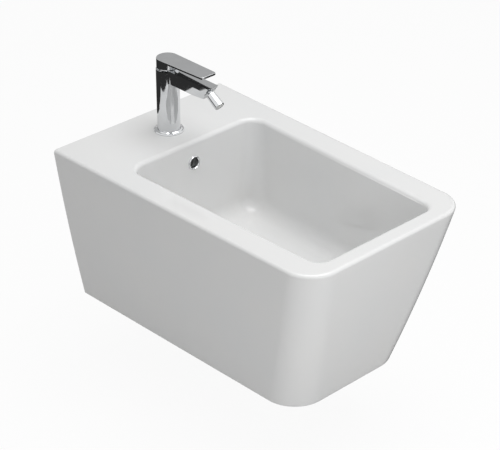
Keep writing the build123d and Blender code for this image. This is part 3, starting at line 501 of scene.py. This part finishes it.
@dataclass
class GlazeCoat:
    """Glaze on the body's outside, from the deck round the rim and down to the foot."""

    title: str = "glaze coat"
    depth: float = 0.560
    height: float = 0.285
    rear_width: float = 0.357
    front_width: float = 0.335
    base_depth: float = 0.485
    base_rear_width: float = 0.262
    base_front_width: float = 0.243
    corner: float = 0.050
    base_corner: float = 0.056
    bulge: float = 0.0025
    rim_edge: float = 0.005
    base_edge: float = 0.003
    deck_z: float = 0.080
    thickness: float = 0.00003
    shell: float = 0.0006
    lip_width: float = 0.004
    probe: float = 0.001
    side_steps: int = 28
    corner_steps: int = 28
    wall_steps: int = 26
    edge_steps: int = 10

    def plan(self, drop: float) -> list[Station]:
        """Samples the body's plan a given drop below the deck.

        Args:
            drop: metres below the deck.

        Returns:
            Stations from the right rear round the front to the left rear.
        """
        share = drop / self.height
        bow = self.bulge * 4 * share * (1 - share)
        rear = (self.rear_width + (self.base_rear_width - self.rear_width) * share) / 2 + bow
        front = (self.front_width + (self.base_front_width - self.front_width) * share) / 2 + bow
        depth = self.depth + (self.base_depth - self.depth) * share + bow
        radius = self.corner + (self.base_corner - self.corner) * share
        length = math.hypot(depth, rear - front)
        out_x, out_y = depth / length, (front - rear) / length
        centre_y = radius - depth
        centre_x = rear - (radius + centre_y * out_y) / out_x
        half = []
        for step in range(self.side_steps):
            part = step / self.side_steps
            half.append(
                Station(
                    rear + (centre_x + radius * out_x - rear) * part,
                    (centre_y + radius * out_y) * part,
                    out_x,
                    out_y,
                )
            )
        start = math.atan2(out_y, out_x)
        for step in range(self.corner_steps + 1):
            turn = start + (-math.pi / 2 - start) * step / self.corner_steps
            way = (math.cos(turn), math.sin(turn))
            half.append(
                Station(centre_x + radius * way[0], centre_y + radius * way[1], way[0], way[1])
            )
        for step in range(1, self.side_steps // 2 + 1):
            half.append(Station(centre_x * (1 - 2 * step / self.side_steps), -depth, 0.0, -1.0))
        other = [Station(-at.x, at.y, -at.out_x, at.out_y) for at in reversed(half[:-1])]
        return half + other

    def slopes(self, drop: float) -> list[float]:
        """Works out how fast the wall draws in at each station.

        Args:
            drop: metres below the deck.

        Returns:
            Inward shift for each metre down.
        """
        upper = self.plan(drop)
        lower = self.plan(drop + self.probe)
        return [
            ((a.x - b.x) * a.out_x + (a.y - b.y) * a.out_y) / self.probe
            for a, b in zip(upper, lower)
        ]

    def ring(self, drops: list[float], insets: list[float]) -> list[tuple]:
        """Makes one ring of points.

        Args:
            drops: metres below the deck, one for each station.
            insets: metres inside the plan, one for each station.

        Returns:
            The points.
        """
        points = []
        for index, (drop, inset) in enumerate(zip(drops, insets)):
            at = self.plan(drop)[index]
            out = self.thickness - inset
            points.append((at.x + at.out_x * out, at.y + at.out_y * out, self.deck_z - drop))
        return points

    def rim_ring(self, part: float) -> tuple[list[float], list[float]]:
        """Gives the drops and insets of one ring on the rim's rounding.

        Args:
            part: 0 at the deck and 1 at the wall.

        Returns:
            Drops and insets by station.
        """
        drops, insets = [], []
        for slope in self.slopes(0.0):
            lean = math.atan(slope)
            turn = part * (math.pi / 2 + lean)
            drop = self.rim_edge * (1 - math.cos(turn))
            centre = -self.rim_edge * (slope + 1 / math.cos(lean))
            drops.append(drop)
            insets.append(-slope * drop - centre - self.rim_edge * math.sin(turn))
        return drops, insets

    def foot_ring(self, part: float) -> tuple[list[float], list[float]]:
        """Gives the drops and insets of one ring on the foot's rounding.

        Args:
            part: 0 at the wall and 1 at the foot's flat.

        Returns:
            Drops and insets by station.
        """
        drops, insets = [], []
        for slope in self.slopes(self.height - self.probe):
            lean = math.atan(slope)
            turn = lean + part * (math.pi / 2 - lean)
            rise = self.base_edge * (1 - math.sin(turn))
            centre = self.base_edge * (slope - 1 / math.cos(lean))
            drops.append(self.height - rise)
            insets.append(slope * rise - centre - self.base_edge * math.cos(turn))
        return drops, insets

    def build(self, palette: Palette) -> int:
        """Makes the coat.

        Args:
            palette: finishes by slot.

        Returns:
            How many pieces were made.
        """
        rings = self.rings()
        count = len(rings[0])
        outer = [Vector(point) for ring in rings for point in ring]
        points = outer + self.inner_layer(outer, count)
        faces = self.shell_faces(len(rings), count)
        add_piece("glaze_coat", [self.inside_box(at) for at in points], faces, palette, Slot.GLAZE)
        return 1

    def rings(self) -> list[list[tuple]]:
        """Makes the outer layer, ring by ring.

        Returns:
            Rings of points from the deck's lip over the rim and down to the foot.
        """
        edge_drops, edge_insets = self.rim_ring(0.0)
        rings = [self.ring(edge_drops, [inset + self.lip_width for inset in edge_insets])]
        for step in range(self.edge_steps + 1):
            rings.append(self.ring(*self.rim_ring(step / self.edge_steps)))
        high = self.rim_ring(1.0)[0]
        low = self.foot_ring(0.0)[0]
        for step in range(1, self.wall_steps):
            part = step / self.wall_steps
            drops = [a + (b - a) * part for a, b in zip(high, low)]
            rings.append(self.ring(drops, [0.0] * len(drops)))
        for step in range(self.edge_steps // 2 + 1):
            rings.append(self.ring(*self.foot_ring(2 * step / self.edge_steps)))
        for flat in (0, 1):
            rings[flat] = [(x, y, z + self.thickness) for x, y, z in rings[flat]]
        return rings

    @staticmethod
    def shell_faces(rows: int, count: int) -> list[tuple]:
        """Joins the outer layer, the inner layer and the strip round their border.

        Args:
            rows: rings in a layer.
            count: points in a ring.

        Returns:
            Corner numbers of each face.
        """
        faces = []
        for row in range(rows - 1):
            for index in range(count - 1):
                a = row * count + index
                faces.append((a, a + 1, a + 1 + count, a + count))
        layer = rows * count
        faces += [tuple(layer + corner for corner in reversed(face)) for face in faces]
        top = list(range(count))
        right = [row * count + count - 1 for row in range(rows)]
        foot = [layer - 1 - index for index in range(count)]
        left = [row * count for row in reversed(range(rows))]
        border = top + right[1:] + foot[1:] + left[1:]
        for a, b in zip(border, border[1:]):
            faces.append((b, a, layer + a, layer + b))
        return faces

    def inner_layer(self, outer: list[Vector], count: int) -> list[Vector]:
        """Sets a second layer of points inside the first, so that the coat is a closed shell.

        Args:
            outer: points of the outer layer, ring by ring.
            count: points in each ring.

        Returns:
            The inner points in the same order.
        """
        inner = []
        for number, point in enumerate(outer):
            row, index = divmod(number, count)
            above = outer[max(row - 1, 0) * count + index]
            below = outer[min(row + 1, len(outer) // count - 1) * count + index]
            before = outer[row * count + max(index - 1, 0)]
            after = outer[row * count + min(index + 1, count - 1)]
            outward = (after - before).cross(below - above).normalized()
            inner.append(point - outward * self.shell)
        return inner

    @staticmethod
    def inside_box(point: Vector) -> tuple:
        """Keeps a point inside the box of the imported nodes.

        Args:
            point: the point in metres.

        Returns:
            The point, moved to the box's face where it stood outside.
        """
        low, high = CAD_BOX
        return tuple(min(max(at, small), large) for at, small, large in zip(point, low, high))


def stage_plane(
    name: str, corners: list[tuple], material: bpy.types.Material
) -> bpy.types.Object:
    """Makes one flat staged face.

    Args:
        name: name of the object.
        corners: its four corners in metres.
        material: what it is made of.

    Returns:
        The new object.
    """
    mesh = bpy.data.meshes.new(name)
    mesh.from_pydata(corners, [], [(0, 1, 2, 3)])
    mesh.materials.append(material)
    plane = bpy.data.objects.new(name, mesh)
    bpy.context.scene.collection.objects.link(plane)
    return plane


@dataclass(frozen=True)
class SoftBox:
    """One square lamp: place, aim and side in metres, power in watts."""

    name: str
    place: tuple
    aim: tuple
    side: float
    power: float
    mirrored: bool = True

    def hang(self) -> None:
        """Hangs the lamp."""
        data = bpy.data.lights.new(self.name, "AREA")
        data.shape = "SQUARE"
        data.size = self.side
        data.energy = self.power
        lamp = bpy.data.objects.new(self.name, data)
        lamp.location = self.place
        direction = Vector(self.aim) - Vector(self.place)
        lamp.rotation_euler = direction.to_track_quat("-Z", "Y").to_euler()
        lamp.visible_glossy = self.mirrored
        bpy.context.scene.collection.objects.link(lamp)


@dataclass(frozen=True)
class Card:
    """One plain card that only polished surfaces show, and how light it is."""

    name: str
    corners: list
    shade: float

    def stand(self) -> None:
        """Stands the card in the studio."""
        material = bpy.data.materials.new(self.name)
        graph = Graph(material)
        colour = (self.shade, self.shade, self.shade, 1)
        tone = graph.add("ShaderNodeEmission", {"Color": colour})
        graph.add("ShaderNodeOutputMaterial", {"Surface": tone.outputs[0]})
        card = stage_plane(self.name, self.corners, material)
        for ray in ("camera", "diffuse", "transmission", "volume_scatter", "shadow"):
            setattr(card, f"visible_{ray}", False)


@dataclass
class Studio:
    """Pale floor, soft lamps, cards, plain world and the camera."""

    floor_z: float = -0.32
    floor_side: float = 14.0
    azimuth: float = -43.35
    elevation: float = 30.02
    distance: float = 2.858
    target: tuple = (-0.01899, -0.28, -0.00121)
    lens: float = 133.09
    room: float = 0.4
    floor_paint: float = 0.86
    floor_glow: float = 0.93
    card_lift: float = 0.005
    dark_x: tuple = (-5.0, 4.0)
    dark_y: tuple = (-3.2, 5.0)
    dark_shade: float = 0.035
    grey_x: tuple = (-1.5, 7.0)
    grey_y: float = 3.0
    grey_z: tuple = (0.25, 4.5)
    grey_shade: float = 0.5
    lamps: tuple = (
        SoftBox("key_box", (0.25, -0.5, 1.9), (0.0, -0.28, 0.0), 1.6, 27.0),
        SoftBox("front_box", (-0.22, -1.25, 0.2), (0.0, -0.5, -0.05), 0.5, 1.9, mirrored=False),
        SoftBox("side_box", (-1.5, -0.45, 0.15), (-0.1, -0.3, -0.05), 0.7, 1.5),
    )

    def build(self) -> None:
        """Makes the whole studio."""
        self.make_floor()
        self.make_world()
        for lamp in self.lamps:
            lamp.hang()
        for card in self.cards():
            card.stand()
        self.make_camera()

    def make_floor(self) -> None:
        """Makes the floor, white to the camera and in reflections, with a soft shadow."""
        half = self.floor_side / 2
        corners = [(-half, -half), (half, -half), (half, half), (-half, half)]
        material = bpy.data.materials.new("studio_floor")
        graph = Graph(material)
        grey = (self.floor_paint, self.floor_paint, self.floor_paint, 1)
        paint = graph.add("ShaderNodeBsdfDiffuse", {"Color": grey})
        glow = graph.add("ShaderNodeEmission", {"Strength": 1.0})
        share = graph.add(
            "ShaderNodeMath", {0: graph.seen(), 1: self.floor_glow}, operation="MULTIPLY"
        )
        mixed = graph.add(
            "ShaderNodeMixShader", {0: share.outputs[0], 1: paint.outputs[0], 2: glow.outputs[0]}
        )
        graph.add("ShaderNodeOutputMaterial", {"Surface": mixed.outputs[0]})
        stage_plane("studio_floor", [(x, y, self.floor_z) for x, y in corners], material)

    def make_world(self) -> None:
        """Makes the world: white where it is seen, softer where it lights."""
        world = bpy.data.worlds.new("studio")
        bpy.context.scene.world = world
        graph = Graph(world)
        power = graph.add(
            "ShaderNodeMapRange", {"Value": graph.seen(), "To Min": self.room, "To Max": 1.0}
        )
        light = graph.add(
            "ShaderNodeBackground", {"Color": (1, 1, 1, 1), "Strength": power.outputs[0]}
        )
        graph.add("ShaderNodeOutputWorld", {"Surface": light.outputs[0]})

    def cards(self) -> tuple[Card, ...]:
        """Gives the cards that the polished metal mirrors.

        Returns:
            A dark card low round the object and a grey one behind the wall.
        """
        flat = self.floor_z + self.card_lift
        (left, right), (front, back) = self.dark_x, self.dark_y
        dark = [(left, front, flat), (right, front, flat), (right, back, flat), (left, back, flat)]
        (left, right), (low, high), wall = self.grey_x, self.grey_z, self.grey_y
        grey = [(left, wall, low), (right, wall, low), (right, wall, high), (left, wall, high)]
        return (
            Card("dark_card", dark, self.dark_shade),
            Card("grey_card", grey, self.grey_shade),
        )

    def make_camera(self) -> None:
        """Stands the camera at the photograph's angle."""
        turn, rise = math.radians(self.azimuth), math.radians(self.elevation)
        back = Vector(
            (math.sin(turn) * math.cos(rise), -math.cos(turn) * math.cos(rise), math.sin(rise))
        )
        data = bpy.data.cameras.new("camera")
        data.lens = self.lens
        data.sensor_width = SENSOR_WIDTH
        camera = bpy.data.objects.new("camera", data)
        camera.location = Vector(self.target) + back * self.distance
        camera.rotation_euler = (-back).to_track_quat("-Z", "Y").to_euler()
        bpy.context.scene.collection.objects.link(camera)
        bpy.context.scene.camera = camera


ASSEMBLIES = (
    Nodes("china body", ("ceramic_body",)),
    GlazeCoat(),
    Nodes("overflow", ("overflow_ring",)),
    Nodes("wall fixings", ("fixing_bushes", "fixing_washers", "fixing_nuts")),
    Nodes(
        "tap",
        ("tap_body", "tap_base_ring", "tap_base_seal", "tap_stud", "clamp_gasket",
         "clamp_washer", "clamp_nut", "dome_ring"),
    ),
    Nodes(
        "cartridge",
        ("cartridge_base", "cartridge_seals", "cartridge_housing", "fixed_disc", "moving_disc",
         "disc_carrier", "turning_guide", "stem_pin", "lever_stem", "cartridge_nut"),
    ),
    Nodes("lever", ("lever_handle", "grub_screw", "screw_cover")),
    Nodes(
        "nozzle",
        ("nozzle_collar", "ball_liner", "ball_seal", "nozzle_ball", "nozzle_sleeve",
         "aerator_insert", "aerator_seal"),
    ),
    Nodes(
        "waste",
        ("waste_body", "waste_upper_seal", "waste_lower_seal", "waste_slip_washer",
         "waste_locknut", "plug_guide", "plug_stem", "plug_cap", "plug_seal"),
    ),
)


def main() -> None:
    """Builds every class in order and reports each."""
    logging.basicConfig(level=logging.INFO, format="%(name)s: %(message)s")
    bpy.context.scene.view_settings.view_transform = "Standard"
    studio = Studio()
    studio.build()
    log.info("studio built")
    palette = Palette()
    for assembly in ASSEMBLIES:
        log.info("%s: %d pieces", assembly.title, assembly.build(palette))


if __name__ == "__main__":
    main()
